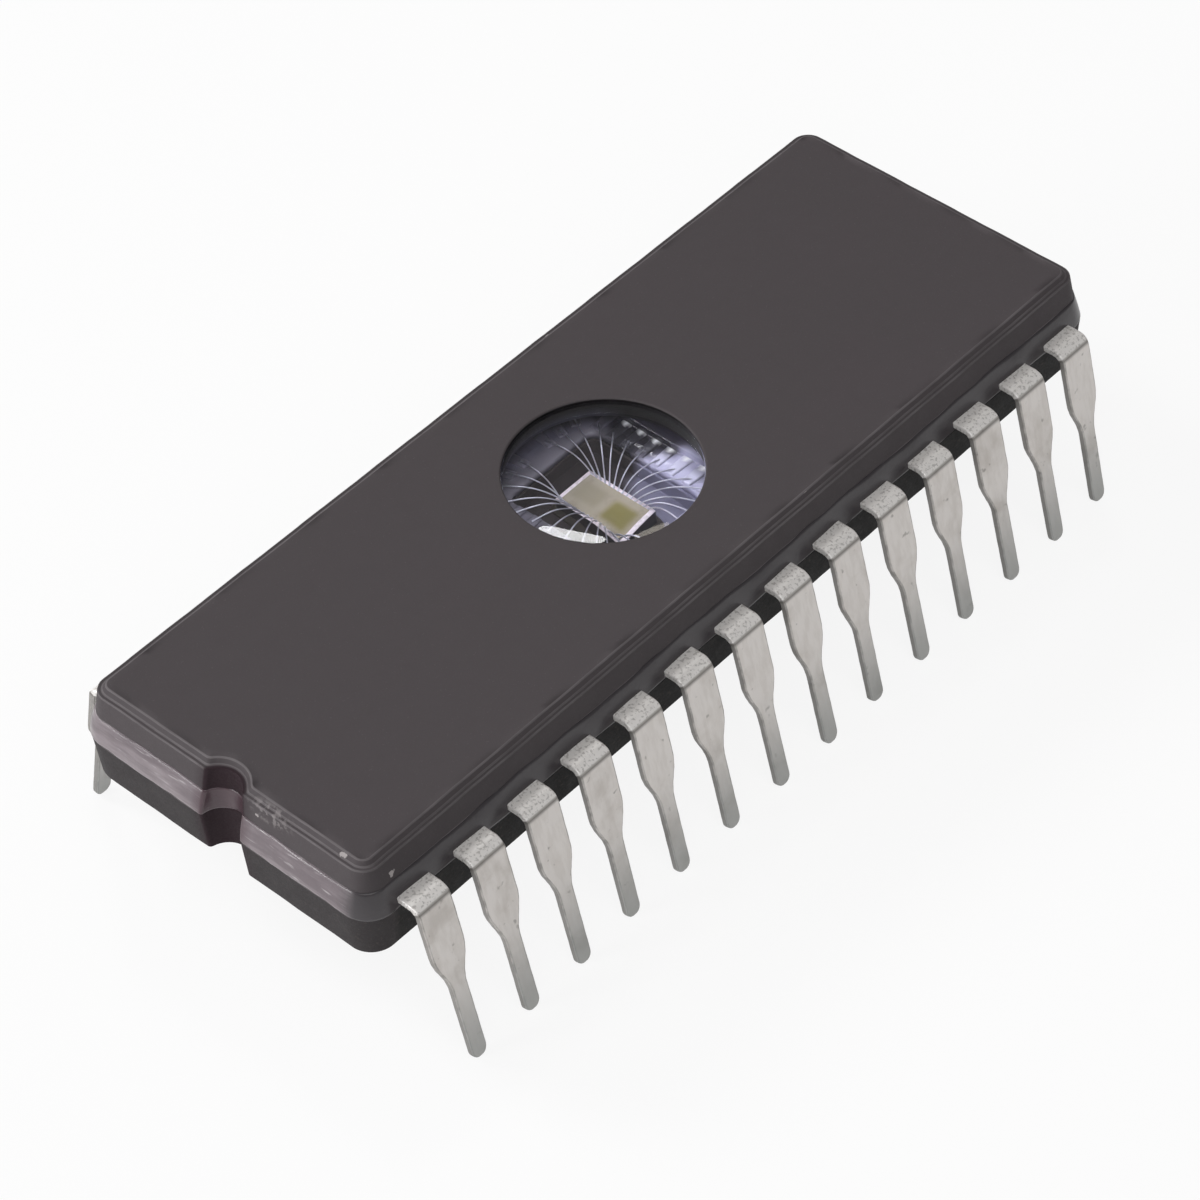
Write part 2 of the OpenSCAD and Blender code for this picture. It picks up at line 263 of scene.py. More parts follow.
sealFinish = dict(
    colour=linear(134, 125, 129),
    dark=linear(94, 84, 89),
    frost=linear(158, 152, 154),
    inside=linear(98, 94, 110),
    insideDark=linear(78, 74, 88),
    # painted light on the window's inside toward its bright corner
    sheen=linear(186, 183, 210),
    # painted shade on the window's inside, near its far rim and in its far corner
    gloom=linear(34, 31, 41),
    pale=linear(120, 116, 126),
    # the notch's darker colour: partly its own tone, partly painted shade in the recess
    notch=linear(74, 56, 63),
    # painted shade on the seal's long sides
    dull=linear(57, 53, 56),
    roughness=0.3,
    ripple=0.02,
)


def makeSealGlass():
    f = sealFinish
    material, tree, shader, where = newMaterial("sealGlass", Roughness=f["roughness"])
    g = placed(tree, grain, Where=where, Fine=5000.0, Coarse=900.0, Lumps=1.5)
    s = placed(tree, stains, Where=where, Patch=500.0)
    within = add(tree, "ShaderNodeAttribute", attribute_name="within").outputs["Fac"]
    along = add(tree, "ShaderNodeVectorMath", {0: where, 1: (0.5, 0.3, 2.5)}, operation="MULTIPLY").outputs[0]
    streaks = ramp(tree, noise(tree, along, 900.0, 4.0, 0.6), 0.35, 0.62)
    outer = blend(tree, maths(tree, "MULTIPLY", streaks, 0.8), f["colour"], f["dark"])
    outer = blend(tree, ramp(tree, noise(tree, along, 2600.0, 2.0), 0.6, 0.72), outer, f["frost"])
    inner = blend(tree, s["Patches"], f["inside"], f["insideDark"])
    colour = blend(tree, within, outer, inner)
    # laid over in turn: painted shade on the long sides, the notch's own tone with painted shade, the pale ledge, then
    # painted light and painted shade inside the window
    for mask in ("dull", "notch", "pale", "sheen", "gloom"):
        colour = blend(tree, read(tree, mask), colour, f[mask])
    tree.links.new(colour, shader.inputs["Base Color"])
    tree.links.new(ramp(tree, within, 0.0, 1.0, f["roughness"], 0.1), shader.inputs["Roughness"])
    bump(tree, shader, g["Height"], f["ripple"], 0.5)
    return material


leadFinish = dict(
    colour=linear(222, 217, 213),
    stain=linear(196, 189, 182),
    spot=linear(100, 94, 86),
    # painted shade along the leads' edges
    edgeColour=linear(98, 95, 92),
    # painted shade on the side faces of the leads
    sideColour=linear(112, 110, 107),
    pinColour=linear(154, 156, 154),
    # painted shade: a dark line just below the shoulder's bend
    creaseColour=linear(112, 108, 104),
    tipColour=linear(112, 108, 122),
    # painted light on the finger tips toward the window's bright corner
    tipSheen=linear(196, 194, 216),
    # painted shade on the finger tips in the window's far part
    tipGloom=linear(48, 46, 56),
    # painted glints: white spots on the fingers at the glass's opening
    glint=linear(252, 252, 252),
    # painted highlight: the shoulders are lighter
    shoulderColour=linear(250, 247, 244),
    speck=linear(150, 144, 140),
    roughness=0.5,
    streakHeight=0.004,
)


def makeTinned():
    f = leadFinish
    material, tree, shader, where = newMaterial("tinPlate", Metallic=0.3)
    s = placed(tree, stains, Where=where, Patch=700.0, Spot=2600.0)
    e = placed(tree, wornEdge, Where=where, Scale=2500.0)
    g = placed(tree, grain, Where=where, Fine=12000.0, Coarse=2500.0, Lumps=1.2)
    along = add(tree, "ShaderNodeVectorMath", {0: where, 1: (1, 1, 0.12)}, operation="MULTIPLY").outputs[0]
    streaks = ramp(tree, noise(tree, along, 4500.0, 3.0), 0.4, 0.65)
    colour = blend(tree, maths(tree, "MULTIPLY", s["Patches"], 0.55), f["colour"], f["stain"])
    colour = blend(tree, maths(tree, "MULTIPLY", streaks, 0.3), colour, f["stain"])
    colour = blend(tree, maths(tree, "MULTIPLY", s["Spots"], 0.5), colour, f["spot"])
    colour = blend(tree, maths(tree, "MULTIPLY", e["Mask"], 0.65), colour, f["edgeColour"])
    # painted highlight on the shoulders, where the real fine specks also lie
    shoulder = read(tree, "shoulder")
    colour = blend(tree, maths(tree, "MULTIPLY", ramp(tree, read(tree, "leg"), 0.3, 1.0), 0.8), colour, f["pinColour"])
    # painted shade on the leads' side faces
    colour = blend(tree, maths(tree, "MULTIPLY", read(tree, "side"), 0.75), colour, f["sideColour"])
    colour = blend(tree, maths(tree, "MULTIPLY", shoulder, 0.85), colour, f["shoulderColour"])
    specks = maths(tree, "MULTIPLY", ramp(tree, noise(tree, where, 9000.0, 2.0), 0.5, 0.66), shoulder)
    colour = blend(tree, maths(tree, "MULTIPLY", specks, 0.5), colour, f["speck"])
    colour = blend(tree, maths(tree, "MULTIPLY", read(tree, "crease"), 0.8), colour, f["creaseColour"])
    # painted light on the finger tips toward the window's bright corner
    tip = blend(tree, read(tree, "sheen"), f["tipColour"], f["tipSheen"])
    # painted shade on the finger tips in the window's far part
    tip = blend(tree, read(tree, "gloom"), tip, f["tipGloom"])
    colour = blend(tree, read(tree, "tip"), colour, tip)
    colour = blend(tree, read(tree, "glint"), colour, f["glint"])
    tree.links.new(colour, shader.inputs["Base Color"])
    rough = ramp(tree, s["Patches"], 0.0, 1.0, f["roughness"] - 0.06, f["roughness"] + 0.12)
    tree.links.new(rough, shader.inputs["Roughness"])
    bump(tree, shader, g["Height"], f["streakHeight"], 0.7)
    return material


def makeWindowGlass():  # clear glass; lamps reach through it by way of a Transparent shader
    material, tree, shader, where = newMaterial("windowGlass", Roughness=0.0, IOR=1.47)
    shader.inputs["Transmission Weight"].default_value = 1.0
    shader.inputs["Base Color"].default_value = (0.97, 0.975, 1.0, 1.0)
    clear = add(tree, "ShaderNodeBsdfTransparent", {"Color": (0.93, 0.94, 0.97, 1.0)})
    path = add(tree, "ShaderNodeLightPath")
    mixed = add(tree, "ShaderNodeMixShader", {0: path.outputs["Is Shadow Ray"], 1: shader.outputs[0], 2: clear.outputs[0]})
    output = next(n for n in tree.nodes if n.type == "OUTPUT_MATERIAL")
    tree.links.new(mixed.outputs[0], output.inputs["Surface"])
    return material


attachFinish = dict(colour=linear(60, 52, 46), speck=linear(96, 84, 70), roughness=0.5)


def makeAttach():
    material, tree, shader, where = newMaterial("dieAttach", Roughness=attachFinish["roughness"])
    g = placed(tree, grain, Where=where, Fine=16000.0, Coarse=4000.0, Lumps=1.0)
    colour = blend(tree, g["Specks"], attachFinish["colour"], attachFinish["speck"])
    tree.links.new(colour, shader.inputs["Base Color"])
    bump(tree, shader, g["Height"], 0.01)
    return material


dieFinish = dict(
    border=linear(246, 234, 242),
    field=linear(160, 150, 132),
    array=linear(150, 141, 120),
    arrayBright=linear(126, 117, 52),
    side=linear(58, 53, 58),
    line=linear(112, 102, 90),
    borderWide=0.14,
    farMiddle=(0.05, 0.72),
    farHalf=(0.4, 0.52),
    nearMiddle=(-0.08, -0.7),
    nearHalf=(0.46, 0.5),
    soft=0.16,
    pitch=0.028,
    block=(0.09, 0.045, 1.0),
)


def inBox(tree, x, y, middle, half, soft=0.005):  # 1 inside a rectangle, 0 outside its soft edge
    far = [maths(tree, "ABSOLUTE", maths(tree, "SUBTRACT", v, m * mm)) for v, m in zip((x, y), middle)]
    return maths(tree, "MULTIPLY", *[ramp(tree, v, (h + soft) * mm, (h - soft) * mm) for v, h in zip(far, half)])


def makeDie(halfX, halfY):
    f = dieFinish
    material, tree, shader, where = newMaterial("silicon", Roughness=0.28)
    axes = add(tree, "ShaderNodeSeparateXYZ", {"Vector": where}).outputs
    x, y = axes["X"], axes["Y"]
    inside = inBox(tree, x, y, (0, 0), (halfX - f["borderWide"], halfY - f["borderWide"]))
    farArray = inBox(tree, x, y, f["farMiddle"], f["farHalf"], f["soft"])
    nearArray = inBox(tree, x, y, f["nearMiddle"], f["nearHalf"], f["soft"])
    waves = [maths(tree, "SINE", maths(tree, "MULTIPLY", v, 2 * math.pi / (f["pitch"] * mm))) for v in (x, y)]
    rows = ramp(tree, waves[1], -0.6, 0.6)
    columns = ramp(tree, waves[0], 0.5, 0.9)
    snapped = add(tree, "ShaderNodeVectorMath", {0: where, 1: tuple(v * mm for v in f["block"])}, operation="SNAP").outputs[0]
    blocks = add(tree, "ShaderNodeTexWhiteNoise", {"Vector": snapped}, noise_dimensions="3D").outputs["Value"]
    blocks = maths(tree, "MULTIPLY", blocks, ramp(tree, noise(tree, where, 1500.0, 1.0), 0.4, 0.6))
    colour = blend(tree, inside, f["border"], f["field"])
    colour = blend(tree, maths(tree, "MULTIPLY", blocks, 0.35), colour, f["line"])
    colour = blend(tree, farArray, colour, f["array"])
    colour = blend(tree, nearArray, colour, f["arrayBright"])
    arrays = maths(tree, "ADD", farArray, nearArray)
    lines = maths(tree, "MULTIPLY", maths(tree, "MAXIMUM", maths(tree, "MULTIPLY", rows, 0.35), columns), arrays)
    colour = blend(tree, maths(tree, "MULTIPLY", lines, 0.4), colour, f["line"])
    upper = maths(tree, "GREATER_THAN", axes["Z"], (dieHigh[2] - 0.02) * mm)
    tree.links.new(blend(tree, upper, f["side"], colour), shader.inputs["Base Color"])
    return material


def makeWireMetal():
    material, tree, shader, where = newMaterial("bondWire", Metallic=0.9)
    g = placed(tree, grain, Where=where, Fine=20000.0)
    colour = blend(tree, g["Specks"], linear(204, 203, 216), linear(160, 160, 172))
    tree.links.new(colour, shader.inputs["Base Color"])
    tree.links.new(ramp(tree, g["Height"], 0.3, 1.0, 0.25, 0.4), shader.inputs["Roughness"])
    return material


# Surfaces

def surface(name, grid, material, closeRows=False, capStart=False, capEnd=False, **attributes):
    # grid is rows by columns by xyz in mm, its columns running round; rows close into a ring,
    # or each end row closes on a pole at its middle. Attributes are one value for each grid point.
    rows, columns = grid.shape[:2]
    points = grid.reshape(-1, 3)
    values = {k: np.broadcast_to(v, (rows, columns)).reshape(-1) for k, v in attributes.items()}
    at = np.arange(rows * columns).reshape(rows, columns)
    if closeRows:
        at = np.vstack([at, at[:1]])
    a, b = at[:-1], at[1:]
    quads = np.stack([a, np.roll(a, -1, 1), np.roll(b, -1, 1), b], -1).reshape(-1, 4)
    fans = []
    for wanted, row, edge in ((capStart, 0, at[0]), (capEnd, rows - 1, at[-1])):
        if wanted:
            pole = len(points)
            points = np.vstack([points, grid[row].mean(0)])
            values = {k: np.append(v, v[row * columns]) for k, v in values.items()}
            fans.append(np.stack([edge, np.roll(edge, -1), np.full(columns, pole)], -1))
    fans = np.concatenate(fans) if fans else np.zeros((0, 3), int)
    mesh = bpy.data.meshes.new(name)
    mesh.vertices.add(len(points))
    mesh.vertices.foreach_set("co", (points * mm).astype(np.float32).ravel())
    mesh.loops.add(quads.size + fans.size)
    mesh.loops.foreach_set("vertex_index", np.concatenate([quads.ravel(), fans.ravel()]).astype(np.int32))
    mesh.polygons.add(len(quads) + len(fans))
    starts = np.concatenate([np.arange(len(quads)) * 4, quads.size + np.arange(len(fans)) * 3])
    mesh.polygons.foreach_set("loop_start", starts.astype(np.int32))
    mesh.update(calc_edges=True)
    for key, value in values.items():
        mesh.attributes.new(key, "FLOAT", "POINT").data.foreach_set("value", value.astype(np.float32))
    outward(mesh)
    mesh.shade_smooth()
    mesh.materials.append(material)
    piece = bpy.data.objects.new(name, mesh)
    bpy.context.scene.collection.objects.link(piece)
    return piece


def outward(mesh):
    work = bmesh.new()
    work.from_mesh(mesh)
    bmesh.ops.recalc_face_normals(work, faces=work.faces)
    work.to_mesh(mesh)
    work.free()


def finished(piece, slot, *nodes):  # the piece stands for these nodes
    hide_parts(*nodes)
    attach(piece, "root")
    return piece


def eased(points, radius, steps=4, support=0.25):
    # A polyline with each inner corner replaced by a quadratic curve that starts and ends radius
    # away, and a support point just outside each end. Also gives 1 on the curves and 0 elsewhere.
    points = np.asarray(points, float)
    made, edge = [points[0]], [0.0]
    for before, corner, after in zip(points[:-2], points[1:-1], points[2:]):
        back, on = before - corner, after - corner
        back, on = (v / np.linalg.norm(v) * min(radius, 0.45 * np.linalg.norm(v)) for v in (back, on))
        t = np.linspace(0, 1, steps + 1)[:, None]
        curve = corner + back * (1 - t) ** 2 + on * t ** 2
        made += [corner + back * (1 + support), *curve, corner + on * (1 + support)]
        edge += [0.0, *([1.0] * (steps + 1)), 0.0]
    return np.array(made + [points[-1]]), np.array(edge + [0.0])


# Package: the outline all ceramic and glass share

package = dict(
    cornerRadius=1.1,
    wallLean=0.16,
    lidInset=0.28,
    chamferWide=0.15,
    chamferHigh=0.2,
    land=0.16,
    notchRadius=0.88,
    notchIn=0.05,
    notchEase=0.14,
    easing=0.05,
    wobble=0.012,          # unevenness of the pressed edges
    counts=(12, 6, 12, 14, 110, 14, 18),   # points along notch, its corner, end wall, corner, side, corner, far end
)
baseLow, baseHigh = nodeBox("ceramic_base")
lidLow, lidHigh = nodeBox("ceramic_lid")
windowLow, windowHigh = nodeBox("uv_window")
axisX = baseHigh[0] - package["cornerRadius"]
axisY = baseHigh[1] - package["cornerRadius"]


def outline(reach, notch):
    # Rounded rectangle that stands reach outside the corner axes, with a round bite of radius
    # notch in its -X end. Half is worked out from the notch's floor to the far end, then mirrored.
    p = package
    notchX = -baseHigh[0] + p["notchIn"]
    endX, sideY = axisX + reach, axisY + reach
    last = math.acos(np.clip((-endX - notchX) / notch, -1, 1)) - p["notchEase"] / notch
    arc = np.linspace(0, last, p["counts"][0])
    floor = np.stack([notchX + notch * np.cos(arc), notch * np.sin(arc)], -1)
    corner = np.array([-endX, notch * math.sin(last + p["notchEase"] / notch)])
    wallStart = corner + [0, p["notchEase"]]
    t = np.linspace(0, 1, p["counts"][1] + 2)[1:, None]
    lip = floor[-1] * (1 - t) ** 2 + 2 * corner * t * (1 - t) + wallStart * t ** 2
    turn = np.linspace(0, math.pi / 2, p["counts"][3])[:, None]
    near = np.array([-axisX, axisY]) + reach * np.hstack([-np.cos(turn), np.sin(turn)])
    far = np.array([axisX, axisY]) + reach * np.hstack([np.sin(turn), np.cos(turn)])
    endWall = np.linspace(wallStart, near[0], p["counts"][2])[1:-1]
    side = np.linspace(near[-1], far[0], p["counts"][4])[1:-1]
    farEnd = np.linspace(far[-1], [endX, 0], p["counts"][6])[1:]
    half = np.vstack([floor, lip, endWall, near, side, far, farEnd])
    return np.vstack([half, half[-2:0:-1] * [1, -1]])


def rows(section):  # one ring for each section point: [reach, notch radius, height]
    rings = []
    for reach, notch, height in section:
        ring = outline(reach, notch)
        rings.append(np.column_stack([ring, np.full(len(ring), height)]))
    return np.array(rings)


def wobbled(rings, amount, seed):  # small slow waves on x, y and z, by place; none on the two end rings at each side
    where = rings[..., 0] * 1.7 + rings[..., 1] * 2.3
    shift = [sum(np.sin(where * f + seed + 2.1 * i + 9 * f) / n for n, f in enumerate((1.0, 2.3, 5.1), 1)) for i in range(3)]
    share = np.clip(np.minimum(np.arange(len(rings)), np.arange(len(rings))[::-1]) - 1, 0, 1)
    return rings + amount * np.stack(shift, -1) * 0.5 * share[:, None, None]


def gloom(x, y):  # painted shade: 1 on the window's inside near its far rim and in its far corner
    corner = np.clip((x + y - 2.3) / 0.5, 0, 1) * np.clip(x - y + 0.3, 0, 1)
    return np.maximum(np.clip((np.hypot(x, y) - 3.05) / 0.7, 0, 1) * (x + y > 0.5), corner)


def sheen(x, y, start=1.5):  # painted light: 1 on the window's inside toward its bright corner
    return np.clip((x - y - start) / 0.8, 0, 1) * np.clip((2.6 - x - y) / 0.4, 0, 1) * np.clip(x / 0.8, 0, 1)


def notchMask(grid):  # 1 on the wall of the index notch, whose darker colour is partly its own tone and partly painted shade
    away = np.hypot(grid[..., 0] + baseHigh[0] - package["notchIn"], grid[..., 1])
    return np.clip((package["notchRadius"] + 0.2 - away) * 8, 0, 1)


def toCircle(ring, radius, height):  # the point of a circle in the same direction as each point of a ring
    xy = ring[:, :2]
    return np.column_stack([xy / np.linalg.norm(xy, axis=1, keepdims=True) * radius, np.full(len(xy), height)])


def toRounded(ring, halfX, halfY, radius, height):
    # the point of a rounded rectangle in the same direction as each point of a ring
    way = ring[:, :2] / np.linalg.norm(ring[:, :2], axis=1, keepdims=True)
    q = np.abs(way) + 1e-9
    flat = np.minimum(halfX / q[:, 0], halfY / q[:, 1])
    centre = np.array([halfX - radius, halfY - radius])
    inCorner = (q * flat[:, None] > centre).all(1)
    dot = q @ centre
    onCorner = dot + np.sqrt(np.maximum(dot ** 2 - centre @ centre + radius ** 2, 0))
    return np.column_stack([way * np.where(inCorner, onCorner, flat)[:, None], np.full(len(way), height)])


def between(a, b, shares):
    return np.array([a + (b - a) * t for t in shares])


lid = dict(glassFillet=0.34, boreEase=0.07, boreGrip=0.012, flatShares=(0.02, 0.1, 0.3, 0.55, 0.8, 0.97))


def makeLid(material):
    # Section: underside from the hole outward, over the eased wall, land and chamfer, in over
    # the face to the hole's eased rim, and down the bore.
    p = package
    rim = p["cornerRadius"] - p["lidInset"]
    wall = rim - p["wallLean"]
    top, low, ledge = lidHigh[2], lidLow[2], lidHigh[2] - p["chamferHigh"]
    r = p["notchRadius"]
    section = [[rim - lid["glassFillet"] / 2 - 0.3, r + 0.3, low], [rim - lid["glassFillet"] / 2, r, low],
               [rim, r, low + lid["glassFillet"]], [wall, r, ledge], [wall - p["land"], r + p["land"], ledge],
               [wall - p["land"] - p["chamferWide"], r + p["land"] + p["chamferWide"], top],
               [wall - p["land"] - p["chamferWide"] - 0.3, r + p["land"] + p["chamferWide"] + 0.3, top]]
    line, edge = eased(section, p["easing"])
    shell = wobbled(rows(line), p["wobble"], 1.0)
    hole = windowHigh[0] - lid["boreGrip"]
    ease = lid["boreEase"]
    corners = [[hole + 0.4, top], [hole, top], [hole, low + 0.85], [hole, low], [hole + 0.4, low]]
    bore, _ = eased(corners, ease)
    boreRows = np.array([toCircle(shell[0], radius, height) for radius, height in bore])
    face = between(shell[-1], boreRows[0], lid["flatShares"])
    underside = between(boreRows[-1], shell[0], (0.1, 0.5, 0.9))
    grid = np.concatenate([shell, face, boreRows, underside])
    edges = np.concatenate([edge, np.zeros(len(face) + len(boreRows) + len(underside))])
    isBore = np.hypot(grid[..., 0], grid[..., 1]) < hole + 0.02
    # painted shade on the lid's long walls below the ledge
    longWall = np.clip((np.abs(grid[..., 1]) - axisY - 0.3) * 4, 0, 1) * (grid[..., 2] < ledge + 0.02)
    # the bore wall gets painted shade: near black, blue-grey at its foot away from the bright corner
    piece = surface("pressedLid", grid, material, closeRows=True, edge=edges[:, None], stained=0.2 * longWall,
                    notch=notchMask(grid), bore=isBore * (grid[..., 2] < top - 0.04),
                    boreFoot=isBore * (grid[..., 2] < low + 0.3) * np.clip(1 - (grid[..., 0] - grid[..., 1]) / 1.5, 0, 1))
    return finished(piece, "ceramic", "ceramic_lid")


base = dict(cavityHalf=(2.0, 2.35), cavityRadius=0.3, cavityDepth=0.6, cavityEase=0.04, shares=(0.05, 0.2, 0.5, 0.8, 0.97))


def makeBase(material):
    # Section: from the middle of the underside out to the chamfer, up the wall, in over the
    # top to the cavity's rim, down its wall and to the middle of its floor.
    p = package
    low, top = baseLow[2], baseHigh[2]
    wall = p["cornerRadius"] - p["wallLean"]
    r = p["notchRadius"]
    section = [[wall - p["land"] - p["chamferWide"] - 0.3, r + p["land"] + p["chamferWide"] + 0.3, low],
               [wall - p["land"] - p["chamferWide"], r + p["land"] + p["chamferWide"], low],
               [wall - p["land"], r + p["land"], low + p["chamferHigh"]], [wall, r, low + p["chamferHigh"]],
               [p["cornerRadius"], r, top], [p["cornerRadius"] - 0.3, r + 0.3, top]]
    line, edge = eased(section, p["easing"])
    shell = wobbled(rows(line), p["wobble"], 4.0)
    floorHeight = top - base["cavityDepth"]
    pocket, pocketEdge = eased([[0.4, top], [0, top], [0, floorHeight], [-0.4, floorHeight]], base["cavityEase"])
    halfX, halfY = base["cavityHalf"]
    pocketRows = np.array([
        toRounded(shell[-1], halfX + out, halfY + out, max(base["cavityRadius"] + out, 0.05), height)
        for out, height in pocket
    ])
    face = between(shell[-1], pocketRows[0], base["shares"])
    middle = np.array([0, 0, floorHeight])
    floor = between(pocketRows[-1], middle, (0.12, 0.24, 0.36, 0.48, 0.6, 0.75, 0.9))
    under = between(np.array([0, 0, low]), shell[0], (0.1, 0.4, 0.7, 0.9, 0.98))
    grid = np.concatenate([under, shell, face, pocketRows, floor])
    edges = np.concatenate([np.zeros(len(under)), edge, np.zeros(len(face)), pocketEdge * 0.3, np.zeros(len(floor))])
    x, y, z = np.moveaxis(grid, -1, 0)
    longSide = np.clip((np.abs(y) - axisY - 0.6) * 6, 0, 1) * np.clip((axisX + 0.4 - np.abs(x)) * 1.5, 0, 1)
    pocketMask = (np.hypot(x / 2.9, y / 3.3) < 1) & (z > low + 1)
    # painted shade on the long sides between the leads, and over all the base below its top
    stained = longSide * (z > low + 0.1)
    stained = np.maximum(stained, 0.6 * (z < top - 0.05))
    # the cavity floor gets painted light toward the window's bright corner
    piece = surface("pressedBase", grid, material, capStart=True, capEnd=True, edge=edges[:, None], stained=stained,
                    notch=notchMask(grid), pocket=pocketMask.astype(float),
                    pocketSheen=pocketMask * sheen(x, y, 0.9))
    return finished(piece, "ceramic", "ceramic_base")


seal = dict(
    opening=(3.15, 4.1), openingRadius=0.6, ledge=(2.08, 2.43), ledgeRadius=0.38,
    leadTop=6.8, sag=0.05, bulge=0.04, unevenness=0.05, creep=0.13, lip=0.06, paleWide=0.5,
)


def makeSeal(material):
    # Section: under the leads outward, up the outer face, which bulges unevenly between the
    # base's edge and the lid's, in under the lid to the opening, where a rounded lip steps
    # down to the ledge round the cavity.
    p, s = package, seal
    rim = p["cornerRadius"] - p["lidInset"]
    r = p["notchRadius"]
    foot, roof, climb = baseHigh[2], lidLow[2], lidLow[2] + lid["glassFillet"]
    t = np.linspace(0, 1, 17)
    reach = p["cornerRadius"] + (rim - p["cornerRadius"]) * t
    outer = rows(np.column_stack([reach, np.full(len(t), r), foot + (climb - foot) * t]))
    x, y = outer[8, :, 0], outer[8, :, 1]
    flow = np.sin(x * 0.9 + 1) + 0.6 * np.sin(x * 2.3 + y * 1.9) + 0.4 * np.sin(y * 5 + 2)
    creep = s["creep"] * (0.55 + 0.3 * np.sin(y * 1.3 + x * 0.8) + 0.15 * np.sin(y * 4.1 + x * 3.1))
    drip = s["creep"] * (0.5 + 0.3 * np.sin(y * 1.9 + 2 + x * 1.1) + 0.2 * np.sin(y * 6.3 + x * 2.2))
    outer[..., 2] += creep * t[:, None] ** 2 - drip * (1 - t[:, None]) ** 2
    away = rows(np.column_stack([reach + 0.1, np.full(len(t), r - 0.1), foot + 0 * t]))[..., :2] - outer[..., :2]
    away /= np.linalg.norm(away, axis=-1, keepdims=True) + 1e-9
    arch = np.sin(math.pi * t)[:, None] * (s["bulge"] + s["unevenness"] * 0.5 * flow)
    lean = p["wallLean"] / 1.8 * (creep * t[:, None] ** 2 + drip * (1 - t[:, None]) ** 2)
    skin = np.where((t == 0) | (t == 1), -0.03, 0.02)[:, None]
    outer[..., :2] += away * (arch - lean + skin)[..., None]
    roofOut = rows([[rim - lid["glassFillet"] / 2, r + lid["glassFillet"] / 2, roof]])[0]
    floorOut = rows([[p["cornerRadius"] - 0.2, r + 0.2, foot]])[0]
    ring = roofOut
    opening = toRounded(ring, *s["opening"], s["openingRadius"], roof)
    turn = np.linspace(0, math.pi / 2, 7)
    lips = []
    for a in turn:
        scale = 1 - s["lip"] * math.sin(a) / np.linalg.norm(opening[:, :2], axis=1, keepdims=True)
        height = roof - (roof - s["leadTop"] + s["sag"]) * (1 - math.cos(a))
        lips.append(np.column_stack([opening[:, :2] * scale, np.full(len(ring), height)]))
    shelf = toRounded(ring, s["ledge"][0] + 0.05, s["ledge"][1] + 0.05, s["ledgeRadius"], s["leadTop"] - s["sag"])
    rim2 = toRounded(ring, *s["ledge"], s["ledgeRadius"], s["leadTop"] - s["sag"] - 0.06)
    footIn = toRounded(ring, *s["ledge"], s["ledgeRadius"], foot)
    grid = np.concatenate([
        between(footIn, floorOut, (0, 0.4, 0.9, 1.0)), outer, roofOut[None], between(roofOut, opening, (0.3, 0.8, 0.94, 0.97)),
        np.array(lips), between(lips[-1], shelf, (0.1, 0.5, 1.0)), rim2[None],
    ])
    within = (np.abs(grid[..., 0]) < s["opening"][0] + 0.6) & (np.abs(grid[..., 1]) < s["opening"][1] + 0.2)
    size = np.abs(grid[..., :2]) - s["ledge"]
    pale = np.clip(1.25 - size.max(-1) / s["paleWide"], 0, 1) * (grid[..., 2] > s["leadTop"] - 0.2) * within
    x, y = grid[..., 0], grid[..., 1]
    # painted shade: the seal's long sides are darker, more so and sooner on the -Y side
    dull = np.where(y < 0, np.clip((-y - axisY + 0.3) * 1.6, 0, 1), np.clip((y - axisY - 0.6) * 4, 0, 1))
    # the window's inside carries painted shade at its far rim and painted light toward its bright corner
    piece = surface("fusedSeal", grid, material, closeRows=True, within=within.astype(float), pale=pale,
                    notch=notchMask(grid), dull=dull, gloom=gloom(x, y) * within, sheen=sheen(x, y) * within)
    return finished(piece, "seal_glass", "seal_glass")


print("surfaces ready")

ceramic = makeCeramic()
makeLid(ceramic)
makeBase(ceramic)
makeSeal(makeSealGlass())
print("ceramic and seal glass made")


# Window

pane = dict(crown=0.06, droop=0.055, droopFrom=0.72, ease=0.04, around=160)


def makeWindow(material):
    # A disc: flat underside, upright rim, and a face that rises as a parabola to its middle
    # and droops as a second parabola near its rim.
    radius, low, high = windowHigh[0], windowLow[2], windowHigh[2]
    rim = high - pane["crown"]
    out = np.linspace(1, 0.02, 40)
    droop = np.clip((out - pane["droopFrom"]) / (1 - pane["droopFrom"]), 0, 1) ** 2 * pane["droop"]
    crown = np.column_stack([out * radius, rim + pane["crown"] * (1 - out ** 2) - droop])
    section, _ = eased([[0.9 * radius, low], [radius, low], crown[0], crown[2]], pane["ease"])
    section = np.vstack([[[0.02 * radius, low], [0.5 * radius, low]], section, crown[3:]])
    turn = np.linspace(0, 2 * math.pi, pane["around"], endpoint=False)
    grid = np.stack([section[:, :1] * np.cos(turn), section[:, :1] * np.sin(turn), section[:, 1:] + 0 * turn], -1)
    piece = surface("windowPane", grid, material, capStart=True, capEnd=True)
    return finished(piece, "window_glass", "uv_window")


makeWindow(makeWindowGlass())
print("window made")


# Leads

leadFrame = dict(
    perRow=14, pitch=2.54, thick=0.25, wide=1.45, pin=0.66, shoulderOut=0.78, bend=0.25, splay=12.5,
    wideLeg=1.75, taper=1.7, tipRadius=0.31,
    fingerGap=0.15, ledgeGap=0.6, fingerPitch=0.68, fingerWide=0.38, sideFingers=4,
    knee=1.6, kneeWide=0.44, shortFirst=0.63, shortPitch=0.62, kneeLean=0.18, kneeShare=0.68, kneeStep=0.075,
    laneFirst=1.5, laneMargin=1.58, laneBow=0.25, laneDrop=0.5, laneIn=0.8, rootIn=0.55, rootShare=0.4,
    cornerEase=0.22, edgeRound=0.055, ragged=0.008, tipBright=1.7, loose=0.5, glintAt=3.04,
)
rankCount = leadFrame["perRow"] // 2
shoulderTop = view["aimHeight"]


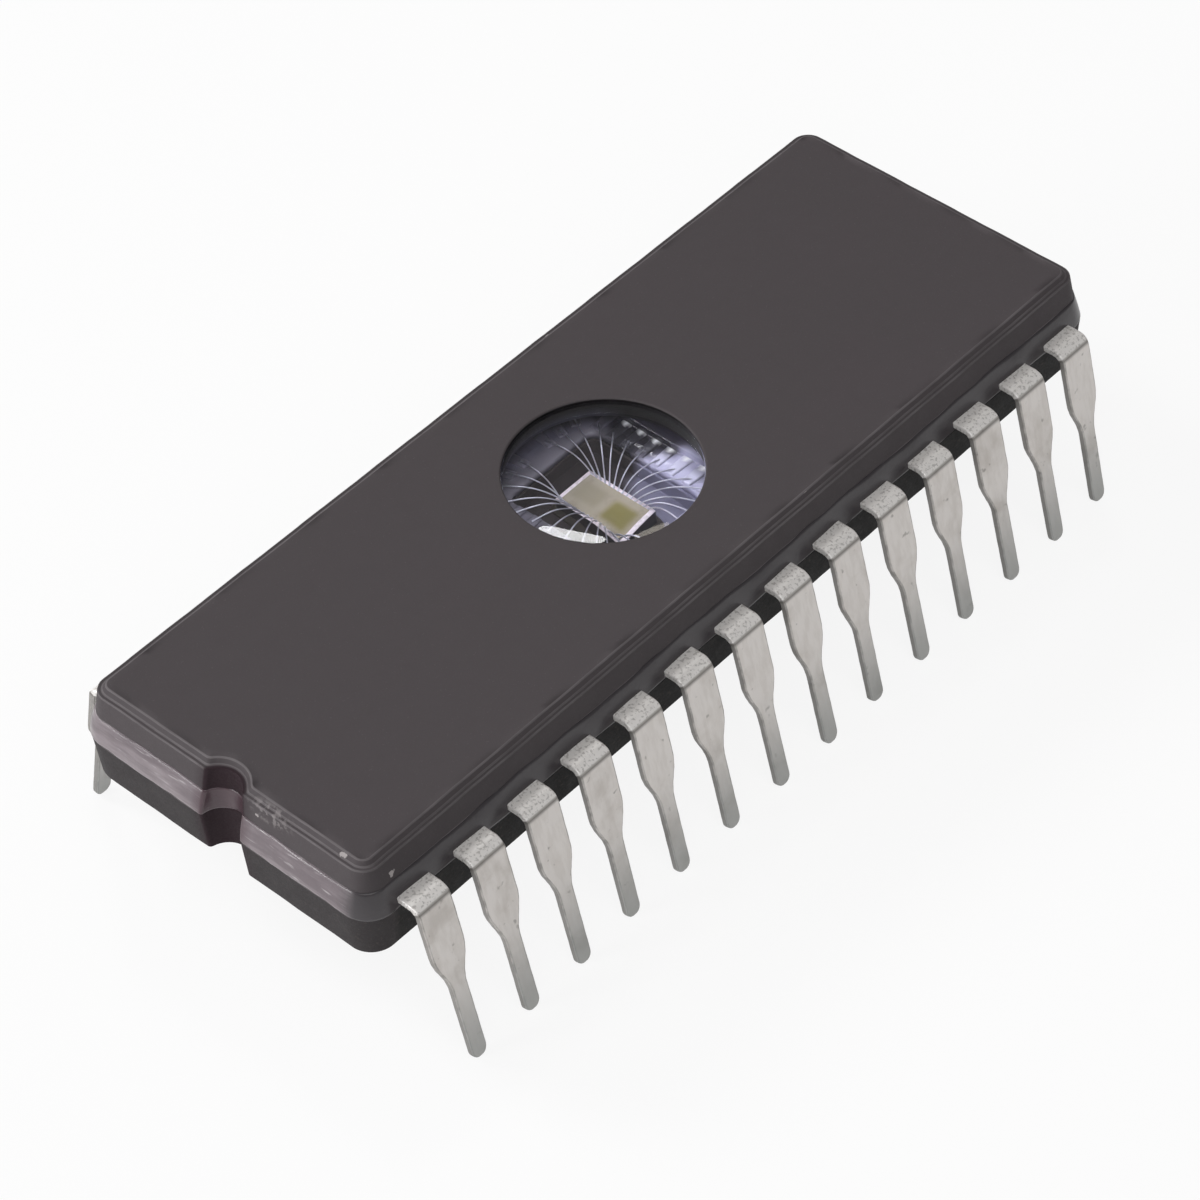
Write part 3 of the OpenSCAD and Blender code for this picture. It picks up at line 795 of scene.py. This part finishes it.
def fingerTip(rank):
    f, (halfX, halfY) = leadFrame, base["cavityHalf"]
    order = rankCount - 1 - rank
    if order < f["sideFingers"]:
        return np.array([halfX + f["fingerGap"], -(order + 0.5) * f["fingerPitch"]])
    return np.array([f["shortFirst"] + f["shortPitch"] * rank, -halfY - f["ledgeGap"]])


def fingerLine(rank):
    # Plan of a finger as points [x, y, width], from its tip through its knee and lane to the root
    f, (halfX, halfY) = leadFrame, base["cavityHalf"]
    order = rankCount - 1 - rank
    x = f["pitch"] * (rank + 0.5)
    wallY = baseHigh[1]
    laneLast = wallY - f["laneMargin"]
    share = order / (rankCount - 1)
    lane = f["laneFirst"] + (laneLast - f["laneFirst"]) * share * (1 + f["laneBow"] * (1 - share))
    laneWide = (laneLast - f["laneFirst"]) / (rankCount - 1)
    tip = fingerTip(rank)
    if order < f["sideFingers"]:
        knee = np.array([halfX + f["knee"], tip[1]])
    else:
        rise = f["kneeShare"] - f["kneeStep"] * rank
        knee = np.array([tip[0] + f["kneeLean"] * (rank + 0.5), tip[1] + (-lane - tip[1]) * rise])
    rootWide = laneWide + f["rootShare"] * (f["wide"] - laneWide)
    return np.array([
        [*tip, f["fingerWide"]], [*knee, f["kneeWide"]],
        [x - min(f["laneIn"], (x - knee[0]) / 2), -lane, laneWide], [x, -lane - f["laneDrop"], rootWide],
        [x, f["rootIn"] - wallY, f["wide"]], [x, -wallY - f["shoulderOut"] + f["bend"] + f["thick"] / 2, f["wide"]],
    ])


def makeLead(pin, material):
    # A rounded strip carried along its line: in plan along the finger, round the bend, and
    # down the leg, whose width goes from wide to pin by a cosine and ends in a round tip.
    f = leadFrame
    place = (pin - 1) % f["perRow"]
    rank = rankCount - 1 - place if place < rankCount else place - rankCount
    plan, _ = eased(fingerLine(rank), f["cornerEase"], steps=6, support=0.4)
    plan = plan[np.append(True, np.linalg.norm(np.diff(plan[:, :2], axis=0), axis=1) > 1e-6)]
    plan = np.vstack([between(plan[0], plan[1], np.linspace(0, 0.94, 15)), plan[1:]])
    middle = f["bend"] + f["thick"] / 2
    bendZ = shoulderTop - f["bend"] - f["thick"]
    splay = math.radians(f["splay"] + random.uniform(-1, 1) * f["loose"])
    bendY = -(baseHigh[1] + f["shoulderOut"] - middle * math.cos(math.radians(f["splay"])))
    plan[-1, 1] = bendY
    flat = np.column_stack([plan[:, :2], np.full(len(plan), shoulderTop - f["thick"] / 2)])
    turn = np.linspace(0, math.pi / 2 - splay, 14)[1:]
    x = plan[-1, 0]
    bend = np.column_stack([np.full(len(turn), x), bendY - middle * np.sin(turn), bendZ + middle * np.cos(turn)])
    legLong = (bendZ + f["bend"] * math.sin(splay)) / math.cos(splay)
    tipTurn = np.radians([0, 18, 36, 52, 66, 77, 85])
    s = np.concatenate([np.linspace(0.15, f["wideLeg"], 5), np.linspace(f["wideLeg"], f["wideLeg"] + f["taper"], 18)[1:],
                        np.linspace(f["wideLeg"] + f["taper"], legLong - f["tipRadius"], 8)[1:-1],
                        legLong - f["tipRadius"] + f["tipRadius"] * np.sin(tipTurn)])
    down = np.array([0, -math.sin(splay), -math.cos(splay)])
    leg = bend[-1] + s[:, None] * down
    share = np.clip((s - f["wideLeg"]) / f["taper"], 0, 1)
    legWide = f["pin"] + (f["wide"] - f["pin"]) * (1 + np.cos(math.pi * share)) / 2
    legWide[-len(tipTurn):] = f["pin"] - 2 * f["tipRadius"] * (1 - np.cos(tipTurn))
    legThick = np.full(len(s), f["thick"])
    legThick[-3:] *= [0.95, 0.82, 0.6]
    line = np.vstack([flat, bend, leg])
    wide = np.concatenate([plan[:, 2], np.full(len(bend), f["wide"]), legWide])
    thick = np.concatenate([np.full(len(flat) + len(bend), f["thick"]), legThick])
    going = np.gradient(line, axis=0)
    going /= np.linalg.norm(going, axis=1, keepdims=True)
    across = np.column_stack([-going[:, 1], going[:, 0], np.zeros(len(line))])
    across[len(flat) - 2:] = [1, 0, 0]
    across /= np.linalg.norm(across, axis=1, keepdims=True)
    up = np.cross(across, going)
    up *= np.sign(up[:, 2:] + 0.3 * (np.arange(len(line)) >= len(flat))[:, None] + 1e-9)
    up[len(flat):] = np.vstack([np.column_stack([0 * turn, -np.sin(turn), np.cos(turn)]),
                                np.tile([0, -math.cos(splay), math.sin(splay)], (len(leg), 1))])
    run = np.cumsum(np.append(0, np.linalg.norm(np.diff(line, axis=0), axis=1)))
    wide = wide + f["ragged"] * (np.sin(run * 7 + pin) + np.sin(run * 17 + 2 * pin)) * (run > 2)
    # the strip's own section: a rounded rectangle with a support point beside each corner
    c = f["edgeRound"]
    arc = np.radians([0, 30, 60, 90])
    corner = np.column_stack([np.cos(arc), np.sin(arc)]) * c
    unit, fixed, edge = [], [], []
    for sx, sz in ((1, 1), (-1, 1), (-1, -1), (1, -1)):
        q = corner if sx * sz > 0 else corner[::-1]
        supports = np.vstack([[c, -0.3 * c], q, [-0.3 * c, c]]) if sx * sz > 0 else np.vstack([[-0.3 * c, c], q, [c, -0.3 * c]])
        unit += [[sx, sz]] * 6
        fixed += list((supports - c) * [sx, sz])
        edge += [0, 1, 1, 1, 1, 0]
        if sx * sz > 0:  # the middle of the upper face, then of the lower one
            unit.append([0, sz])
            fixed.append(np.zeros(2))
            edge.append(0)
    unit, fixed = np.array(unit, float), np.array(fixed)
    # the side faces, which get painted shade
    side = (np.abs(fixed[:, 0]) < 0.02 * c) * np.abs(unit[:, 0])
    shrink = np.minimum(1, np.minimum(wide, thick) / f["thick"] / 0.9)[:, None, None]
    local = np.stack([wide / 2, thick / 2], -1)[:, None] * unit + fixed * shrink
    grid = line[:, None] + local[..., :1] * across[:, None] + local[..., 1:] * up[:, None]
    farRow = pin > f["perRow"]
    lowX = (place < rankCount) != farRow
    grid = grid * [-1 if lowX else 1, -1 if farRow else 1, 1]
    middles = grid.mean(1)
    inPlan = middles[:, 0], middles[:, 1]
    # painted glints: round white spots on the fingers where they pass under the glass's opening
    glint = np.exp(-((middles[:, 0] - f["glintAt"]) / 0.12) ** 2) * (np.abs(middles[:, 1]) < 2) * (run < 2)
    glint = np.clip(3.4 * glint[:, None] * (1 - 0.75 * np.abs(unit[:, 0])) - 0.5, 0, 1)
    # painted highlight over the shoulder's flat and the top of the bend
    shoulder = (np.arange(len(run)) < len(flat) + 8) * (run > 3)
    bright = np.clip((f["tipBright"] - run) * 4, 0, 1)
    onLeg = len(flat) + len(bend)
    legShare = np.clip((run - run[onLeg - 1]) / (run[-1] - run[onLeg - 1]), 0, 1)
    # painted shade: a narrow dark line a little way into the bend
    crease = np.exp(-((run - run[len(flat) + 9]) / 0.05) ** 2)
    name = f"lead_{pin:02d}"
    piece = surface(f"platedLead_{pin:02d}", grid, material, capStart=True, capEnd=True,
                    edge=np.array(edge, float)[None] * (run > 2)[:, None], side=side[None] * (run > 2)[:, None],
                    tip=bright[:, None], leg=legShare[:, None], crease=crease[:, None],
                    shoulder=shoulder.astype(float)[:, None], gloom=gloom(*inPlan)[:, None],
                    sheen=sheen(*inPlan)[:, None], glint=glint)
    return finished(piece, "tinned_lead", name)


tinned = makeTinned()
for pin in range(1, 2 * leadFrame["perRow"] + 1):
    makeLead(pin, tinned)
print("leads made")


# Die, its pad and the bond wires

dieLow, dieHigh = nodeBox("memory_die")
padLow, padHigh = nodeBox("die_attach")
chip = dict(ease=0.012, padRadius=0.2, padFoot=0.05)


def slab(name, halfX, halfY, radius, section, material, around=96):
    # Rings of a rounded rectangle, one for each section point [outset, height], closed on both poles
    turn = np.linspace(0, 2 * math.pi, around, endpoint=False)
    circle = np.column_stack([np.cos(turn), np.sin(turn)])
    rings = [toRounded(circle, halfX + out, halfY + out, max(radius + out, 0.01), height) for out, height in section]
    rings = [between(np.array([0, 0, section[0][1]]), rings[0], (0.5,))[0], *rings,
             between(np.array([0, 0, section[-1][1]]), rings[-1], (0.5,))[0]]
    return surface(name, np.array(rings), material, capStart=True, capEnd=True)


def makeDiePieces():
    line, _ = eased([[-0.2, dieLow[2]], [0, dieLow[2]], [0, dieHigh[2]], [-0.2, dieHigh[2]]], chip["ease"])
    die = slab("siliconDie", dieHigh[0], dieHigh[1], 0.02, line, makeDie(dieHigh[0], dieHigh[1]), around=256)
    finished(die, "silicon", "memory_die")
    climb = [[-0.3, padLow[2]], [0, padLow[2]], [-0.04, padHigh[2] - 0.01], [-0.16, padHigh[2] + 0.03], [-0.25, padHigh[2] + 0.05]]
    pad = slab("attachFillet", padHigh[0], padHigh[1], chip["padRadius"], climb, makeAttach())
    finished(pad, "die_attach", "die_attach")


wires = dict(diameter=0.05, padPitch=0.2, padIn=0.1, land=0.22, loop=0.3, foot=0.1, flat=0.45, steps=26, sides=8)


def wireLine(rank):
    w = wires
    order = rankCount - 1 - rank
    lift = w["diameter"] / 2
    start = np.array([dieHigh[0] - w["padIn"], -(order + 0.5) * w["padPitch"], dieHigh[2] + lift * w["flat"]])
    finger = fingerLine(rank)[:2, :2]
    heading = (finger[1] - finger[0]) / np.linalg.norm(finger[1] - finger[0])
    end = np.append(finger[0] + w["land"] * heading, shoulderTop + lift * w["flat"])
    t = np.linspace(0, 1, w["steps"])[:, None]
    rise = np.sin(math.pi * t ** 0.8)
    line = start + (end - start) * t + np.array([0, 0, w["loop"]]) * rise
    way = (end - start) * [1, 1, 0] / np.linalg.norm((end - start)[:2])
    feet = np.array([0.6, 0.3])[:, None] * w["foot"] * way
    return np.vstack([start - feet, line, end + feet[::-1]])


def makeWires(notchEnd, material):
    # Each wire is a round tube carried along its loop, pressed flat and wide at both feet
    w = wires
    grids = []
    for side in (1, -1):
        for rank in range(rankCount):
            line = wireLine(rank)
            going = np.gradient(line, axis=0)
            going /= np.linalg.norm(going, axis=1, keepdims=True)
            across = np.column_stack([-going[:, 1], going[:, 0], 0 * going[:, 0]])
            across /= np.linalg.norm(across, axis=1, keepdims=True)
            up = np.cross(going, across)
            n = len(line)
            near = np.minimum(np.arange(n), n - 1 - np.arange(n))
            press = np.clip((near - 1) / 3, 0, 1)
            radius = w["diameter"] / 2
            high = radius * (w["flat"] + (1 - w["flat"]) * press)
            wide = radius * (1.6 - 0.6 * press)
            turn = np.linspace(0, 2 * math.pi, w["sides"], endpoint=False)
            grid = (line[:, None] + across[:, None] * (wide[:, None] * np.cos(turn))[..., None]
                    + up[:, None] * (high[:, None] * np.sin(turn))[..., None])
            grids.append(grid * [-1 if notchEnd else 1, side, 1])
    name = "bond_wires_notch_end" if notchEnd else "bond_wires_far_end"
    parts = [surface(f"wire{i}", g, material, capStart=True, capEnd=True) for i, g in enumerate(grids)]
    bpy.ops.object.select_all(action="DESELECT")
    for part in parts:
        part.select_set(True)
    bpy.context.view_layer.objects.active = parts[0]
    bpy.ops.object.join()
    parts[0].name = "notchEndWires" if notchEnd else "farEndWires"
    finished(parts[0], "bond_wire", name)


makeDiePieces()
wireMetal = makeWireMetal()
makeWires(True, wireMetal)
makeWires(False, wireMetal)
print("die and bond wires made")


# Floor and light

studio = dict(
    floorHalf=1.5,
    floorColour=(0.86, 0.86, 0.86, 1.0),
    floorGlow=0.88,
    floorShine=0.9,        # what metal and glass see of the floor
    worldStrength=0.22,
    key=dict(bearing=(-0.35, 0.94), rise=38, away=0.35, size=0.1, level=0.4),
    fill=dict(bearing=(-0.9, 0.4), rise=14, away=0.4, size=0.15, level=0.46),
    front=dict(bearing=(-0.6, -0.8), rise=50, away=0.5, size=0.45, level=0.4),
    above=dict(bearing=(0.596, 0.803), rise=58.9, away=0.4, size=0.065, level=0.1),
    low=dict(bearing=(0.852, 0.524), rise=58.9, away=0.4, size=0.04, level=0.011, colour=(1.0, 0.93, 0.82)),
)


def addLamp(name, bearing, rise, away, size, level, colour=(1, 1, 1)):
    # level is the share of full white that it gives a white surface facing it
    data = bpy.data.lights.new(name, "AREA")
    data.shape = "DISK"
    data.size = size
    data.color = colour
    data.energy = level * math.pi ** 2 * away ** 2
    flat = Vector((*bearing, 0)).normalized() * math.cos(math.radians(rise))
    way = flat + Vector((0, 0, math.sin(math.radians(rise))))
    lamp = bpy.data.objects.new(name, data)
    lamp.location = way * away
    lamp.rotation_euler = way.to_track_quat("Z", "Y").to_euler()
    bpy.context.scene.collection.objects.link(lamp)


def addStudio():
    s = studio
    half = s["floorHalf"]
    mesh = bpy.data.meshes.new("floor")
    mesh.from_pydata([(-half, -half, 0), (half, -half, 0), (half, half, 0), (-half, half, 0)], [], [(0, 1, 2, 3)])
    floor = bpy.data.objects.new("floor", mesh)
    bpy.context.scene.collection.objects.link(floor)
    material, tree, shader, where = newMaterial("paleFloor", Roughness=0.9)
    shader.inputs["Base Color"].default_value = s["floorColour"]
    glow = add(tree, "ShaderNodeEmission", {"Color": (1, 1, 1, 1), "Strength": 1.0})
    path = add(tree, "ShaderNodeLightPath")
    seen = maths(tree, "MAXIMUM", path.outputs["Is Camera Ray"], path.outputs["Is Transmission Ray"])
    seen = maths(tree, "MULTIPLY", seen, s["floorGlow"])
    share = maths(tree, "MAXIMUM", seen, maths(tree, "MULTIPLY", path.outputs["Is Glossy Ray"], s["floorShine"]))
    mixed = add(tree, "ShaderNodeMixShader", {0: share, 1: shader.outputs[0], 2: glow.outputs[0]})
    output = next(n for n in tree.nodes if n.type == "OUTPUT_MATERIAL")
    tree.links.new(mixed.outputs[0], output.inputs["Surface"])
    mesh.materials.append(material)
    world = bpy.data.worlds.new("studio")
    world.use_nodes = True
    background = next(n for n in world.node_tree.nodes if n.type == "BACKGROUND")
    background.inputs["Color"].default_value = (1, 1, 1, 1)
    background.inputs["Strength"].default_value = s["worldStrength"]
    bpy.context.scene.world = world
    for name in ("key", "fill", "front", "above", "low"):
        addLamp(name, **s[name])
    bpy.context.scene.view_settings.view_transform = "Standard"


addStudio()
print("studio made")
